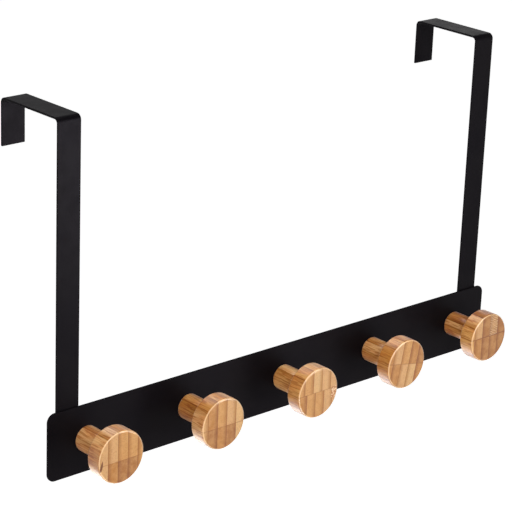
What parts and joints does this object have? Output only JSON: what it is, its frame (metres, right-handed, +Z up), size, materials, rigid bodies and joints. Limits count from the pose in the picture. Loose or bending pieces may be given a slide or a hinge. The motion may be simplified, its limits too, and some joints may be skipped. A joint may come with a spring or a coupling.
{
  "type": "over-door hook rail",
  "caption": "Rail of turned wooden knobs on a black sheet-steel plate, hung over a door's top edge by two bent steel straps.",
  "frame": {"origin": "on the door's top front edge, midway between the two straps: z = 0 is the underside of the straps' tops and y = 0 the back of their long legs", "axes": "+X along the rail to the right seen from the front, +Y into the door, away from the person in front of it, +Z up; the knobs point along -Y"},
  "size_m": [0.34, 0.0826, 0.2032],
  "materials": {
    "black_powder_coat": "satin black powder coat",
    "bamboo": "laminated bamboo, sanded, clear matt lacquer",
    "zinc_plated_steel": "bright zinc plating"
  },
  "bodies": {
    "root": {"left_door_strap": "black_powder_coat", "right_door_strap": "black_powder_coat", "back_plate": "black_powder_coat", "knob_1": "bamboo", "knob_2": "bamboo", "knob_3": "bamboo", "knob_4": "bamboo", "knob_5": "bamboo", "knob_screws": "zinc_plated_steel"}
  },
  "joints": []
}
